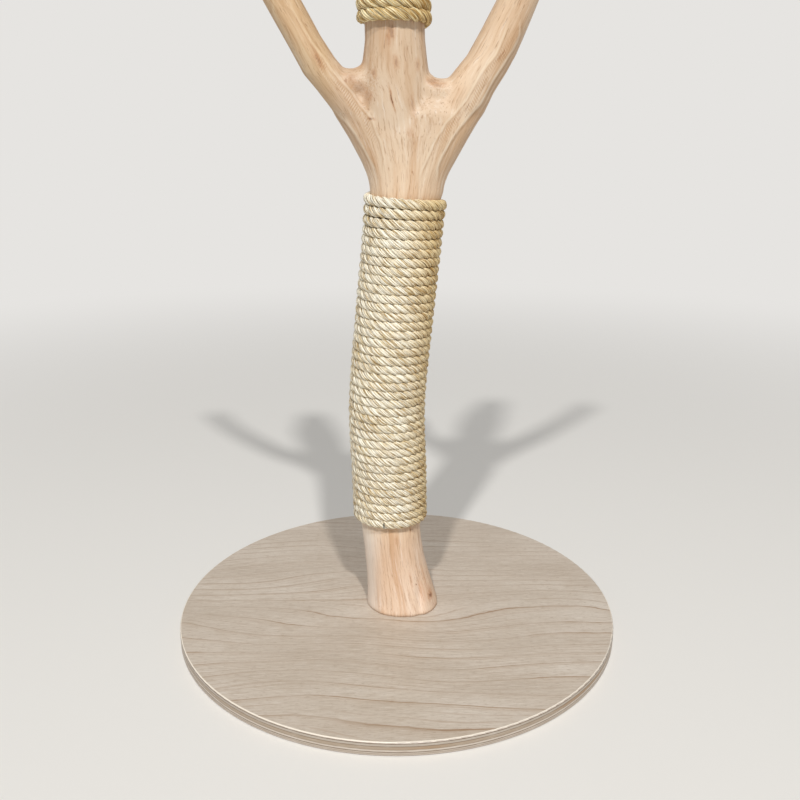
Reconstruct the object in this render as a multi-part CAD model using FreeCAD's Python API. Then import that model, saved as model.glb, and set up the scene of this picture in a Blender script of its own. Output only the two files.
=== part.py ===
import FreeCAD, Part
import math
import os

# Cat scratching post: a forked, peeled hardwood stem on a round plywood plate,
# with sisal rope wound round the stem and round its middle limb.
# Millimetres. The origin is the centre of the plate's underside, +Z is up and -Y is the front.

# Base plate
plate_diameter = 600.0
plate_thickness = 18.0
plate_edge_radius = 2.0
plate_foot_chamfer = 1.0

# Stem, from the plate's top face to the neck below the fork
stem_height = 570.0
stem_diameter = 82.0
stem_back = 19.0

# Fork and limbs. Heights are from the neck up, reaches are sideways from the stem's axis
limb_height = 390.0
left_limb_reach = 217.0
left_limb_diameter = 40.0
right_limb_reach = 196.0
right_limb_diameter = 46.0
middle_limb_diameter = 69.0
fork_width = 224.0
fork_thickness = 58.0
fan_height = 149.0
left_crotch_height = 153.0
right_crotch_height = 146.5
left_crotch_radius = 12.0
right_crotch_radius = 17.0
saddle_width = 42.0
crotch_flare = 4.0
sawn_edge = 2.0

# Rope, wound left-handed. The lower winding really has 38 turns and is made here with fewer
rope_diameter = 10.5
rope_clearance = 0.4
rope_sides = 6
lower_wrap_start = 121.0  # above the plate
lower_wrap_top_gap = 7.0  # below the neck
upper_wrap_start = 189.0  # above the neck
upper_wrap_top_gap = 71.0  # below the sawn end
loop_gap = 1.2
most_loops = 24

# Staples of flat wire through the rope's ends
staple_wire_width = 1.3
staple_wire_thickness = 0.9
staple_crown = 7.6
staple_leg = 24.0
staple_corner_radius = 1.2
staple_hole_clearance = 0.2

# Lag screw, washer and countersunk screws that hold the stem from below
lag_diameter = 10.0
lag_length = 100.0
lag_head_across_flats = 17.0
lag_head_height = 6.4
lag_head_sides = 6
lag_head_face_share = 0.95
lag_head_slope = 30.0
washer_diameter = 28.0
washer_thickness = 2.5
recess_depth = 9.5
recess_clearance = 1.0
screw_diameter = 5.0
screw_length = 60.0
screw_head_diameter = 10.0
screw_circle_diameter = 44.0
screw_count = 3
screw_drive_width = 3.6
screw_drive_depth = 2.2
screw_drive_slot = 1.2
screw_tip_share = 0.2
hole_clearance = 0.4
seat_clearance = 0.1
cut_overrun = 2.0

# Stem: height share of the stem, then sideways and backward shares of its axis and the width and
# depth shares, all four of the stem's diameter
stem_shares = [
    (0.00, 0.105, -0.11, 1.22, 1.10),
    (0.025, 0.080, -0.09, 1.17, 1.08),
    (0.06, 0.012, -0.06, 1.05, 1.05),
    (0.105, -0.030, -0.03, 1.01, 1.02),
    (0.155, -0.078, -0.01, 0.98, 0.99),
    (0.19, -0.100, 0.0, 1.0, 1.0),
    (0.23, -0.115, 0.0, 1.0, 1.0),
    (0.28, -0.122, 0.0, 1.0, 1.0),
    (0.35, -0.131, 0.0, 1.0, 1.0),
    (0.42, -0.155, 0.0, 1.0, 1.0),
    (0.49, -0.168, 0.0, 1.0, 1.0),
    (0.56, -0.148, 0.0, 1.0, 1.0),
    (0.63, -0.103, 0.0, 1.0, 1.0),
    (0.70, -0.048, 0.0, 1.0, 1.0),
    (0.77, 0.001, 0.0, 1.0, 1.0),
    (0.84, 0.050, 0.0, 1.0, 1.0),
    (0.90, 0.088, 0.0, 1.0, 1.0),
    (0.95, 0.116, 0.0, 1.0, 1.0),
    (0.985, 0.138, 0.0, 1.0, 1.0),
]

# Neck and fan of the fork: height share of the fan height, sideways share of the stem's
# diameter, then the shares of the way from the stem's diameter to the fork's width and thickness
fan_shares = [
    (0.03, 0.155, 0.055, 0.0),
    (0.12, 0.172, 0.135, 0.0),
    (0.215, 0.185, 0.238, 0.05),
    (0.41, 0.189, 0.455, 0.2),
    (0.60, 0.182, 0.715, 0.55),
    (0.69, 0.168, 0.81, 1.0),
    (0.74, 0.160, 0.82, 1.5),
]

# Limbs: height share of the limb height, sideways share of the limb's reach, backward share of
# the limb's diameter, and the width and depth shares of that diameter
left_limb_shares = [
    (0.08, -0.01, 0.0, 1.60, 1.30),
    (0.18, -0.195, 0.0, 1.52, 1.28),
    (0.25, -0.277, 0.0, 1.46, 1.26),
    (0.305, -0.366, 0.0, 1.39, 1.25),
    (0.345, -0.433, 0.0, 1.44, 1.22),
    (0.39, -0.491, 0.0, 1.18, 1.16),
    (0.454, -0.563, 0.02, 1.10, 1.10),
    (0.555, -0.664, 0.06, 1.11, 1.05),
    (0.69, -0.800, 0.16, 1.11, 1.04),
    (0.85, -0.925, 0.32, 1.07, 1.02),
    (0.93, -0.972, 0.42, 1.05, 1.0),
    (1.00, -1.00, 0.50, 1.04, 1.0),
]
right_limb_shares = [
    (0.08, 0.085, 0.0, 1.50, 1.15),
    (0.18, 0.236, 0.0, 1.48, 1.13),
    (0.25, 0.32, 0.0, 1.50, 1.12),
    (0.305, 0.393, 0.0, 1.50, 1.10),
    (0.345, 0.452, 0.0, 1.44, 1.08),
    (0.40, 0.535, 0.0, 1.25, 1.05),
    (0.472, 0.599, -0.02, 1.19, 1.03),
    (0.555, 0.676, -0.06, 1.08, 1.0),
    (0.69, 0.800, -0.14, 1.04, 0.98),
    (0.85, 0.920, -0.26, 1.0, 0.96),
    (0.93, 0.967, -0.34, 0.98, 0.95),
    (1.00, 1.00, -0.40, 0.97, 0.94),
]
middle_limb_shares = [
    (0.10, 0.05, 0.0, 1.15, 1.04),
    (0.18, 0.02, 0.0, 1.28, 1.05),
    (0.26, 0.0, 0.0, 1.36, 1.05),
    (0.345, 0.0, 0.0, 1.22, 1.03),
    (0.40, 0.0, 0.0, 1.08, 1.01),
    (0.445, 0.0, 0.0, 1.0, 1.0),
    (0.48, -0.005, 0.0, 1.0, 1.0),
    (0.55, -0.02, 0.0, 1.0, 1.0),
    (0.62, -0.03, 0.0, 1.0, 1.0),
    (0.69, -0.03, 0.0, 1.0, 1.0),
    (0.76, -0.02, 0.0, 1.0, 1.0),
    (0.83, 0.0, 0.0, 1.0, 1.0),
    (0.89, 0.02, 0.0, 1.0, 1.0),
    (0.95, 0.05, 0.0, 0.98, 0.98),
    (1.00, 0.07, 0.0, 0.96, 0.96),
]
# Where the limbs' own zero lies, as a sideways share of the stem's diameter
fork_centre_share = 0.12
middle_limb_centre_share = -0.03

# Saddles at the crotches: share of the way round from the middle limb to the side limb, the
# share of the full section there, and how far it sinks in as a share of the crotch's radius
saddle_shares = [
    (0.00, 0.50, 0.60),
    (0.14, 0.80, 0.20),
    (0.32, 0.98, 0.00),
    (0.50, 1.00, 0.00),
    (0.68, 0.94, 0.00),
    (0.86, 0.70, 0.20),
    (1.00, 0.40, 0.60),
]
saddle_thickness_share = 0.83
side_limb_lean = 30.0

ring_points = 8
curve_degree = 3
turn_steps = 48
# How closely a height is found on an axis, as a share of one of its spans
span_share = 1e-7
plate_top = plate_thickness
neck_height = plate_top + stem_height
right_way = FreeCAD.Vector(1, 0, 0)
back_way = FreeCAD.Vector(0, 1, 0)
up_way = FreeCAD.Vector(0, 0, 1)


def clamped_knots(count):
    """Even knots and their counts for a smooth curve over count control points, clamped at its ends."""
    spans = count - curve_degree
    inner = [1] * (spans - 1)
    return list(range(spans + 1)), [curve_degree + 1] + inner + [curve_degree + 1]


def control_curve(points):
    knots, counts = clamped_knots(len(points))
    curve = Part.BSplineCurve()
    curve.buildFromPolesMultsKnots(points, counts, knots, False, curve_degree)
    return curve


def ring(centre, width, depth, along=up_way):
    """Control points of an oval section of a stated width and depth, square to along."""
    across = back_way.cross(along).normalize()
    inward = along.cross(across).normalize()
    # An even closed cubic curve runs inside its control points by this factor
    outset = 3 / (2 + math.cos(2 * math.pi / ring_points))
    points = []
    for i in range(ring_points):
        turn = 2 * math.pi * i / ring_points
        side = across * (outset * width / 2 * math.cos(turn))
        points.append(centre + side + inward * (outset * depth / 2 * math.sin(turn)))
    return points


def row_centres(rows, base, height, sideways_unit, backward_unit):
    """The control points of an axis, from a table of shares."""
    return [
        base + right_way * (row[1] * sideways_unit) + back_way * (row[2] * backward_unit)
        + up_way * (row[0] * height)
        for row in rows
    ]


def skin(rings, bands):
    """A solid through a row of control rings, ruled in a number of bands from ring to ring."""
    knots, counts = clamped_knots(len(rings))
    surface = Part.BSplineSurface()
    surface.buildFromPolesMultsKnots(
        rings, counts, [1] * (ring_points + 1), knots, list(range(ring_points + 1)), False, True,
        curve_degree, curve_degree,
    )
    steps = bands * knots[-1]
    sections = [Part.Wire([surface.uIso(i / bands).toShape()]) for i in range(steps + 1)]
    return Part.makeLoft(sections, True, True)


stem_foot = FreeCAD.Vector(0, stem_back, plate_top)
fork_centre = FreeCAD.Vector(fork_centre_share * stem_diameter, stem_back, neck_height)
middle_centre = FreeCAD.Vector(middle_limb_centre_share * stem_diameter, stem_back, neck_height)


stem_centres = row_centres(stem_shares, stem_foot, stem_height, stem_diameter, stem_diameter)
fan_centres = row_centres(fan_shares, stem_foot + up_way * stem_height, fan_height, stem_diameter, 0)
middle_centres = row_centres(
    middle_limb_shares, middle_centre, limb_height, middle_limb_diameter, middle_limb_diameter
)


class Axis:
    """A smooth axis through control points, read by height above the plate's underside."""

    def __init__(self, centres):
        self.curve = control_curve(centres)
        self.end = len(centres) - curve_degree

    def at(self, height):
        """The axis point and direction at a height, found by halving."""
        low, high = 0.0, float(self.end)
        while high - low > span_share:
            middle = (low + high) / 2
            if self.curve.value(middle).z < height:
                low = middle
            else:
                high = middle
        return self.curve.value(low), self.curve.tangent(low)[0]


def stem_solid():
    """Foot, stem, neck and the fan of the fork, cut level at the foot."""
    centres = stem_centres + fan_centres
    rings = []
    for i, row in enumerate(stem_shares):
        along = centres[i + 1] - centres[i - 1] if i > 0 else up_way
        rings.append(ring(centres[i], row[3] * stem_diameter, row[4] * stem_diameter, along))
    for centre, (share, sideways, widening, thinning) in zip(fan_centres, fan_shares):
        width = stem_diameter + widening * (fork_width - stem_diameter)
        depth = stem_diameter + thinning * (fork_thickness - stem_diameter)
        rings.append(ring(centre, width, depth))
    return skin(rings, 1)


def limb_solid(rows, base, reach, diameter):
    """One limb from inside the fan to its level sawn end, whose edge is eased."""
    centres = row_centres(rows, base, limb_height - sawn_edge, reach, diameter)
    rings = [ring(centre, row[3] * diameter, row[4] * diameter) for centre, row in zip(centres, rows)]
    top = centres[-1] + up_way * sawn_edge
    width, depth = rows[-1][3] * diameter, rows[-1][4] * diameter
    rims = []
    for centre, inset in ((centres[-1], 0), (top, 2 * sawn_edge)):
        curve = Part.BSplineCurve()
        curve.buildFromPolesMultsKnots(
            ring(centre, width - inset, depth - inset), [1] * (ring_points + 1),
            list(range(ring_points + 1)), True, curve_degree,
        )
        rims.append(Part.Wire([curve.toShape()]))
    return skin(rings, 1).fuse(Part.makeLoft(rims, True, True))


def saddle_solid(side, crotch_height, crotch_radius):
    """The U-shaped web between the middle limb and the limb on one side, -1 left or 1 right."""
    centre = middle_centre + right_way * (side * (middle_limb_diameter / 2 + crotch_radius + crotch_flare))
    centre = centre + up_way * crotch_height
    sweep = 180 - side_limb_lean
    rings = []
    for share, section, sink in saddle_shares:
        turn = math.radians(180 + share * sweep)
        out = right_way * (side * math.cos(turn)) + up_way * math.sin(turn)
        width = saddle_width * section
        middle = centre + out * (crotch_radius * (1 + sink) + width / 2)
        depth = fork_thickness * saddle_thickness_share * section
        rings.append(ring(middle, width, depth, back_way.cross(out) * side))
    return skin(rings, 2)


def wrap_frame(axis, height):
    """Centre, right-hand and backward directions of a winding's own plane at a height."""
    centre, along = axis.at(height)
    across = back_way.cross(along).normalize()
    return centre, across, along.cross(across).normalize()


def winding_point(axis, start, pitch, radius, turn):
    """A point on a left-handed winding whose ends are at the back."""
    centre, across, inward = wrap_frame(axis, start + pitch * turn)
    angle = math.pi / 2 - 2 * math.pi * turn
    return centre + (across * math.cos(angle) + inward * math.sin(angle)) * radius


def winding_tangent(axis, start, pitch, radius, turn):
    step = 1 / (2 * turn_steps)
    ahead = winding_point(axis, start, pitch, radius, turn + step)
    return (ahead - winding_point(axis, start, pitch, radius, turn - step)).normalize()


def pipe(path, section):
    """A solid swept from a closed section along a path."""
    tube = Part.BRepOffsetAPI.MakePipeShell(path)
    tube.add(section)
    tube.build()
    tube.makeSolid()
    return tube.shape()


def arc_from(start, tangent, end):
    """The arc that leaves start along tangent and ends at end."""
    chord = end - start
    inward = tangent.cross(chord).cross(tangent).normalize()
    radius = chord.dot(chord) / (2 * chord.dot(inward))
    centre = start + inward * radius
    middle = (start - centre).normalize() + (end - centre).normalize()
    return Part.Arc(start, centre + middle.normalize() * radius, end).toShape()


def biarc(start, tangent, end, end_tangent):
    """Two arcs that join two points and their tangents smoothly."""
    chord = end - start
    both = tangent + end_tangent
    a = 2 * (1 - tangent.dot(end_tangent))
    b = 2 * chord.dot(both)
    c = chord.dot(chord)
    reach = (math.sqrt(b * b + 4 * a * c) - b) / (2 * a)
    first = start + tangent * reach
    second = end - end_tangent * reach
    joint = (first + second) / 2
    return [arc_from(start, tangent, joint), arc_from(joint, (second - first).normalize(), end)]


class Winding:
    """One length of rope wound round an axis from one height to another."""

    def __init__(self, axis, core_diameter, start, end):
        rise = end - start - rope_diameter
        self.axis = axis
        self.loops = min(most_loops, int(rise / (rope_diameter + loop_gap)))
        self.start = start + rope_diameter / 2
        self.pitch = rise / self.loops
        self.radius = core_diameter / 2 + rope_clearance + rope_diameter / 2

    def point(self, turn):
        return winding_point(self.axis, self.start, self.pitch, self.radius, turn)

    def tangent(self, turn):
        return winding_tangent(self.axis, self.start, self.pitch, self.radius, turn)

    def outward(self, turn):
        centre, along = self.axis.at(self.start + self.pitch * turn)
        return (self.point(turn) - centre).normalize()

    def path(self):
        first, last = self.point(0), self.point(self.loops)
        lead_in = first - self.tangent(0) * rope_diameter
        lead_out = last + self.tangent(self.loops) * rope_diameter
        edges = [Part.LineSegment(lead_in, first).toShape()]
        for half in range(2 * self.loops):
            turn, after = half / 2, (half + 1) / 2
            edges += biarc(self.point(turn), self.tangent(turn), self.point(after), self.tangent(after))
        edges.append(Part.LineSegment(last, lead_out).toShape())
        return Part.Wire(edges)

    def solid(self):
        """The rope as one unbroken tube with a faceted section."""
        tangent = self.tangent(0)
        middle = self.point(0) - tangent * rope_diameter
        side = self.outward(0)
        side = (side - tangent * side.dot(tangent)).normalize()
        other = tangent.cross(side)
        corners = []
        for i in range(rope_sides + 1):
            angle = 2 * math.pi * (i + 0.5) / rope_sides
            corners.append(middle + (side * math.cos(angle) + other * math.sin(angle)) * (rope_diameter / 2))
        return pipe(self.path(), Part.makePolygon(corners))

    def least_gap(self):
        """The least gap from the rope to its next turn, on points along it."""
        points = [self.point(i / turn_steps) for i in range(self.loops * turn_steps + 1)]
        half = turn_steps // 2
        least = self.pitch * self.loops
        for i, here in enumerate(points):
            for there in points[i + half:i + turn_steps + half]:
                least = min(least, here.distanceToPoint(there))
        return least - rope_diameter


def bar(start, along, length, diameter):
    return Part.makeCylinder(diameter / 2, length, start, along)


def staple_places():
    """Point on the rope's axis, outward direction and crown direction of each staple."""
    end_turn = rope_diameter / (2 * math.pi * lower_wrap.radius)
    places = []
    for wrap, turn in [
        (lower_wrap, end_turn),
        (lower_wrap, 0.5 + end_turn),
        (lower_wrap, lower_wrap.loops - end_turn),
        (upper_wrap, end_turn),
        (upper_wrap, upper_wrap.loops - end_turn),
    ]:
        outward = wrap.outward(turn)
        places.append((wrap.point(turn), outward, wrap.tangent(turn).cross(outward).normalize()))
    return places


def staple_solid(point, outward, crosswise):
    """A staple bent from flat wire, with its crown on the rope and its legs in the wood."""
    along = outward.cross(crosswise)
    crown_top = point + outward * (rope_diameter / 2 + seat_clearance + staple_wire_thickness)
    blank = block(crown_top, crosswise, staple_crown, outward * -1, staple_leg, along, staple_wire_width)
    corners = [edge for edge in blank.Edges if is_crown_corner(edge, along, crown_top, staple_leg)]
    blank = blank.makeFillet(staple_corner_radius, corners)
    inside = staple_crown - 2 * staple_wire_thickness
    hollow_top = crown_top - outward * staple_wire_thickness
    hollow_width = staple_wire_width + 2 * cut_overrun
    return blank.cut(block(hollow_top, crosswise, inside, outward * -1, staple_leg, along, hollow_width))


def block(top, across, width, downward, depth, along, length):
    """A block centred under a point, from three square directions."""
    corner = top - across * (width / 2) - along * (length / 2)
    face = Part.Face(Part.makePolygon([
        corner,
        corner + across * width,
        corner + across * width + along * length,
        corner + along * length,
        corner,
    ]))
    return face.extrude(downward * depth)


def is_crown_corner(edge, along, crown_top, leg):
    """Whether an edge runs along the wire's width at the crown's top."""
    way = (edge.Vertexes[1].Point - edge.Vertexes[0].Point).normalize()
    near = edge.CenterOfMass.distanceToPoint(crown_top) < leg / 2
    return near and abs(way.dot(along)) > math.sqrt(0.5)


def staple_holes(point, outward, crosswise):
    """The two leg slots, through the rope and into the wood."""
    along = outward.cross(crosswise)
    top = point + outward * (rope_diameter / 2 + cut_overrun)
    leg_middle = (staple_crown - staple_wire_thickness) / 2
    thickness = staple_wire_thickness + 2 * staple_hole_clearance
    width = staple_wire_width + 2 * staple_hole_clearance
    length = staple_leg + cut_overrun
    return [
        block(top + crosswise * (leg_middle * way), crosswise, thickness, outward * -1, length, along, width)
        for way in (1, -1)
    ]


def all_staple_holes():
    return [hole for place in staple_places() for hole in staple_holes(*place)]


def screw_places():
    """Where the countersunk screws stand round the lag screw."""
    places = []
    for i in range(screw_count):
        angle = 2 * math.pi * i / screw_count + math.pi / 2
        out = right_way * math.cos(angle) + back_way * math.sin(angle)
        places.append(fixing_centre + out * (screw_circle_diameter / 2))
    return places


def countersunk_body(place, clearance, length):
    """A countersunk screw's outline from its head to a length, grown all round by a clearance."""
    head = screw_head_diameter / 2 + clearance
    shank = screw_diameter / 2 + clearance
    cone = Part.makeCone(head, shank, head - shank, place)
    return cone.fuse(bar(place, up_way, length, 2 * shank))


def tapered_tip(place, diameter, tip_share):
    """A screw's point, as long as the screw is thick."""
    return Part.makeCone(diameter / 2, diameter / 2 * tip_share, diameter, place)


def countersunk_screw(place):
    seat = place + up_way * seat_clearance
    shank_length = screw_length - screw_diameter
    body = countersunk_body(seat, 0, shank_length)
    slots = []
    for across, along in ((screw_drive_width, screw_drive_slot), (screw_drive_slot, screw_drive_width)):
        corner = seat - right_way * (across / 2) - back_way * (along / 2) - up_way * cut_overrun
        slots.append(Part.makeBox(across, along, screw_drive_depth + cut_overrun, corner))
    tip = tapered_tip(seat + up_way * shank_length, screw_diameter, screw_tip_share)
    return body.cut(slots[0].fuse(slots[1])).fuse(tip).removeSplitter()


def lag_screw():
    """Hex-headed lag screw whose head is sloped off round its face."""
    under_head = fixing_centre + up_way * (recess_depth - washer_thickness)
    head_bottom = under_head - up_way * lag_head_height
    face_radius = lag_head_across_flats / 2
    corner_radius = face_radius / math.cos(math.pi / lag_head_sides)
    corners = []
    for i in range(lag_head_sides + 1):
        angle = 2 * math.pi * i / lag_head_sides
        out = right_way * math.cos(angle) + back_way * math.sin(angle)
        corners.append(head_bottom + out * corner_radius)
    head = Part.Face(Part.makePolygon(corners)).extrude(up_way * lag_head_height)
    narrow = face_radius * lag_head_face_share
    wide = narrow + lag_head_height / math.tan(math.radians(lag_head_slope))
    cap = Part.makeCone(narrow, wide, lag_head_height, head_bottom)
    shank_length = lag_length - lag_diameter
    shank = bar(under_head, up_way, shank_length, lag_diameter)
    tip = tapered_tip(under_head + up_way * shank_length, lag_diameter, screw_tip_share)
    return head.common(cap).fuse([shank, tip]).removeSplitter()


def lag_washer():
    bottom = fixing_centre + up_way * (recess_depth - washer_thickness)
    disc = bar(bottom, up_way, washer_thickness - seat_clearance, washer_diameter)
    hole = bar(bottom - up_way * cut_overrun, up_way, recess_depth, lag_diameter + 2 * hole_clearance)
    return disc.cut(hole)


def screw_holes():
    """The lag screw's and countersunk screws' holes, through the plate and into the stem."""
    under_head = fixing_centre + up_way * (recess_depth - washer_thickness)
    holes = [bar(under_head, up_way, lag_length + cut_overrun, lag_diameter + 2 * hole_clearance)]
    for place in screw_places():
        holes.append(countersunk_body(place, hole_clearance, screw_length + cut_overrun))
    return holes


def base_plate():
    disc = Part.makeCylinder(plate_diameter / 2, plate_thickness)
    rims = [edge for edge in disc.Edges if isinstance(edge.Curve, Part.Circle)]
    rims.sort(key=lambda edge: edge.CenterOfMass.z)
    disc = disc.makeFillet(plate_edge_radius, [rims[1]])
    foot_rim = [edge for edge in disc.Edges if edge.BoundBox.ZMax == 0 and len(edge.Vertexes) == 1]
    disc = disc.makeChamfer(plate_foot_chamfer, foot_rim)
    mouth = fixing_centre - up_way * cut_overrun
    recess = bar(mouth, up_way, recess_depth + cut_overrun, washer_diameter + 2 * recess_clearance)
    return disc.cut([recess] + screw_holes())


def trunk():
    """The forked stem, one piece of wood, with its holes from below and for the staples."""
    left = limb_solid(left_limb_shares, fork_centre, left_limb_reach, left_limb_diameter)
    right = limb_solid(right_limb_shares, fork_centre, right_limb_reach, right_limb_diameter)
    middle = limb_solid(middle_limb_shares, middle_centre, middle_limb_diameter, middle_limb_diameter)
    left_saddle = saddle_solid(-1, left_crotch_height, left_crotch_radius)
    right_saddle = saddle_solid(1, right_crotch_height, right_crotch_radius)
    wood = left
    for form in [left_saddle, middle, right_saddle, right, stem_solid()]:
        wood = wood.fuse(form)
    return wood.cut(screw_holes() + all_staple_holes())


def rope(wrap):
    return wrap.solid().cut(all_staple_holes())


fixing_centre = FreeCAD.Vector(stem_centres[0].x, stem_centres[0].y, 0)
lower_wrap = Winding(
    Axis(stem_centres + fan_centres), stem_diameter, plate_top + lower_wrap_start,
    neck_height - lower_wrap_top_gap,
)
upper_wrap = Winding(
    Axis(middle_centres), middle_limb_diameter, neck_height + upper_wrap_start,
    neck_height + limb_height - upper_wrap_top_gap,
)

pieces = {
    "base_plate": base_plate(),
    "trunk": trunk(),
    "lower_rope_wrap": rope(lower_wrap),
    "upper_rope_wrap": rope(upper_wrap),
    "rope_staples": Part.makeCompound([staple_solid(*place) for place in staple_places()]),
    "lag_screw": lag_screw(),
    "lag_washer": lag_washer(),
    "plate_screws": Part.makeCompound([countersunk_screw(place) for place in screw_places()]),
}

print("lower winding: least gap to itself %.2f mm" % lower_wrap.least_gap())
print("upper winding: least gap to itself %.2f mm" % upper_wrap.least_gap())
os.makedirs("parts", exist_ok=True)
for name, shape in pieces.items():
    shape.exportStep(f"parts/{name}.step")
    print(name, "solids", len(shape.Solids), "volume %.0f" % shape.Volume, "valid", shape.isValid())
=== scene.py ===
import bmesh
import bpy
import math
import random
from mathutils import Euler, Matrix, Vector, noise
from mathutils.bvhtree import BVHTree


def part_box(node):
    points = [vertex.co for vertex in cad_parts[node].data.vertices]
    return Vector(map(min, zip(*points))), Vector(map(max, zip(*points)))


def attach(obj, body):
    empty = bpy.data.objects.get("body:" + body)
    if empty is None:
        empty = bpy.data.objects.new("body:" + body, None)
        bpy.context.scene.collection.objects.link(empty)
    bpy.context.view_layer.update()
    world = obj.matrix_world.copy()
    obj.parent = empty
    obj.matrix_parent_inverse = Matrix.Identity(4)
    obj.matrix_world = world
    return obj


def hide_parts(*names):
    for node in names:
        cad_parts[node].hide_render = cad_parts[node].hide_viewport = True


# Cat scratching post: a forked, peeled branch on a round plywood plate, with sisal rope round the
# stem and round the middle limb. Metres. -Y is the front, +Z is up.

mm = 0.001

# Camera, as the photograph was taken
photo_size = 800
focal_pixels = 859.7
camera_tilt = 16.92
camera_place = Vector((4.45 * mm, -1087.9 * mm, 648.3 * mm))

# Light: two disc lamps high up behind the camera, aimed at the post, and a dim white sky
lamp_places = {"left_lamp": (-1.45, -6.0, 6.9), "right_lamp": (1.35, -5.65, 7.3)}
lamp_target = (0, 0, 0.4)
lamp_size = 0.5
lamp_watts = 378
lamp_colour = (1, 0.99, 0.97)
sky_colour = (1, 1, 1, 1)
sky_strength = 0.18

# Floor: a wide disc just under the plate that fades into the backdrop between two distances
floor_radius = 14
floor_drop = 0.2 * mm
floor_fade = (0.7, 3.0)

# Plate: its thickness, and its bands from below up, each with its lower and upper height in
# millimetres: first painted contact shade where it meets the floor, then its plies and glue lines.
# They blend into each other over twice the blend's width.
plate_thickness = 18 * mm
ply_blend = 0.12
plies = [
    (0.0, 0.9, "837060"), (0.9, 2.6, "BEB2A6"), (2.6, 3.1, "937F6B"), (3.1, 4.9, "BAAEA1"),
    (4.9, 5.7, "685340"), (5.7, 8.0, "CDC2B5"), (8.0, 8.5, "7F6A55"), (8.5, 12.1, "AC9B88"),
    (12.1, 12.7, "6C553C"), (12.7, 15.6, "B8ADA0"), (15.6, 16.4, "654F3D"),
    (16.4, 18.0, "C8BCAF"),
]

# Rope: three strands, each a tube laid round a line off the rope's middle, both as shares of half
# the rope's height in its row
strand_radius_share = 0.63
strand_offset_share = 0.46
strand_sides = 10
strand_step = 2 * mm
rope_sink = 0.35 * mm

# Windings. The rows are pressed together, so the rope is a little higher in its row than it is
# thick off the wood. Spacing is the way along the rope from one strand to the next. Rows lean with
# the wood by row_lean and climb faster at the back by back_climb. Over the last turns they rise by
# end_lift and lose end_lean of that climb.
lower_winding = {
    "turns": 38,
    "height": 12.3 * mm,
    "thickness": 10.6 * mm,
    "spacing": 10.6 * mm,
    "row_lean": 0.15,
    "back_climb": 0.5,
    "end_lift": 3.2 * mm,
    "end_lean": 0.8,
}
upper_winding = {
    "turns": 9,
    "height": 14.2 * mm,
    "thickness": 10.2 * mm,
    "spacing": 13.2 * mm,
    "back_climb": 0.95,
}
upper_rope_drop = 5 * mm

# The last turns begin this many turns before the end, and have risen in full after so many turns
end_lift_start = 3.2
end_lift_turns = 3

# Middle lines of the wood under the windings: where the search for them starts, its step up, how
# many steps it goes beyond a winding, how often the line is smoothed, and how far up and down its
# lean is measured
stem_middle = Vector((0, 0.019, 0))
axis_step = 6 * mm
axis_overrun = 4
axis_smoothing = 6
lean_reach = 10 * mm

# Loose fibres: their thickness, the shortest and longest reach in millimetres, and their number
fibre_thickness = 0.1 * mm
fibre_reach = (4, 13)
fibres_per_metre = 300

# Staples of flat wire. The turns say how far in from a winding's ends they sit, and where the one
# seen at the front is.
staple_wire_width = 1.3 * mm
staple_wire_thickness = 0.9 * mm
staple_crown = 7.6 * mm
staple_leg = 12 * mm
staple_bend = 1.2 * mm
staple_bend_steps = 4
end_staple_turn = 0.035
front_staple_turn = 0.525

# Wood of the trunk: the grid of its faces, how it is smoothed, in and out again in each pass, and
# the height up to which its foot is made flat
wood_grid = 2.35 * mm
smoothing_passes = 60
smoothing_factors = (0.5, -0.508)
foot_flat = 2.5 * mm

# Its level sections: their step, the gap that parts two limbs, and the levels from a crotch's
# bottom up to where its gap has opened
section_step = 3 * mm
limb_gap = 10 * mm
crotch_levels = 5

# Its grain: a side limb's share of it, half the share that ends in a crotch, its width, and the
# height where it begins to part
side_limb_share = 0.3
crotch_share = 0.03
grain_width = 100 * mm
neck_height = 580 * mm

# Height where the photograph ends and made-up ridges begin, and how far above it they are full
photo_top = 770 * mm
photo_top_blend = 40 * mm

# Slight swellings of the outline, in millimetres: middle height, reach up and down, the place
# across where each begins, the outline's own place, and how far it stands out there
swellings = [
    (580, 17, 12, 56, 3.6),
    (580, 17, 12, -32, -2.6),
    (686, 11, 60, 110, 2.8),
    (780, 60, 0, 32, 2.6),
]

# Root flare: how far the foot's front stands forward at the plate, how high and how far back the
# flare reaches, and its low bumps and hollows seen from the front, as place across, height, half
# width, half height and depth in millimetres
root_depth = 9.5 * mm
root_height = 62 * mm
root_back = 25 * mm
root_bumps = [
    (45, 34, 10, 20, 4.6),
    (31, 40, 4.5, 24, -2.2),
    (24, 44, 6, 26, 0.9),
]

# Ridges left by peeling, as photo pixels from the neck up: two on each side limb. They fade out
# over this distance beyond their ends.
ridge_fade = 18 * mm
ridge_pixels = {
    "right_inner": [
        (419.3, 178.6), (421.8, 169.6), (429.5, 153), (434.6, 141.6), (444.8, 123.7), (454.9, 114),
        (465.7, 99.5), (471.5, 89.6), (479.8, 76.3), (488, 64.7), (496.3, 54.7), (502.1, 39.8),
        (509.6, 20.7), (517.9, 1.7),
    ],
    "right_outer": [
        (437.1, 168.4), (442.2, 155.6), (449.9, 141.6), (457.6, 130), (467.8, 117.3), (479.8, 102),
        (488, 89.6), (495.5, 77.1), (504.6, 63.9), (512.9, 49.8), (519.6, 34.8),
    ],
    "left_inner": [
        (384, 160), (381, 142), (370, 117), (359.5, 104.5), (352.8, 93.5), (341.2, 81.3),
        (331.3, 70.5), (323.8, 58), (314.7, 46.4), (302, 27), (291, 8),
    ],
    "left_outer": [
        (374.6, 169.6), (365.7, 151.8), (355.5, 135.2), (346.2, 122.7), (334.6, 111.1),
        (323.8, 97.8), (313, 83.7), (301.4, 66.3), (294, 53.1), (282.4, 31.5), (273, 13.5),
    ],
}

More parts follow.
